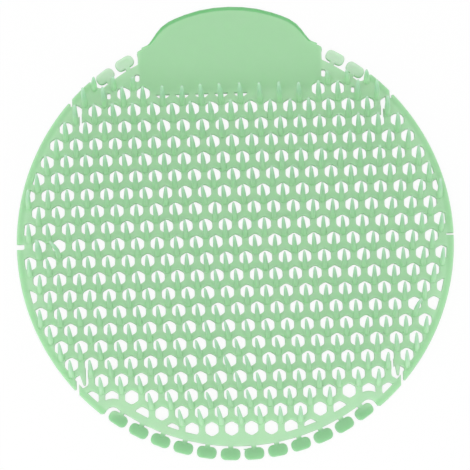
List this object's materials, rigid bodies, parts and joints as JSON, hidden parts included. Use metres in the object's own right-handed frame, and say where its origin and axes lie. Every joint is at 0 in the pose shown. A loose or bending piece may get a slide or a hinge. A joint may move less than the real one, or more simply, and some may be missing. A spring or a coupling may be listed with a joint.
{
  "type": "urinal deodorizer screen",
  "caption": "Round soft plastic urinal mat with a honeycomb of hexagonal holes, a field of slanted splash pins, a pull tab and trimming lugs on its rim.",
  "frame": {"origin": "middle of the mat's bounding box, on the flat back that it lies on", "axes": "+Z from the flat back to the pins, +Y from the disc to the pull tab, +X to the right with the tab at the top"},
  "size_m": [0.1782, 0.1872, 0.0144],
  "materials": {
    "soft_plastic": "frosted satin, soft translucent green"
  },
  "bodies": {
    "root": {"screen": "soft_plastic"}
  },
  "joints": []
}
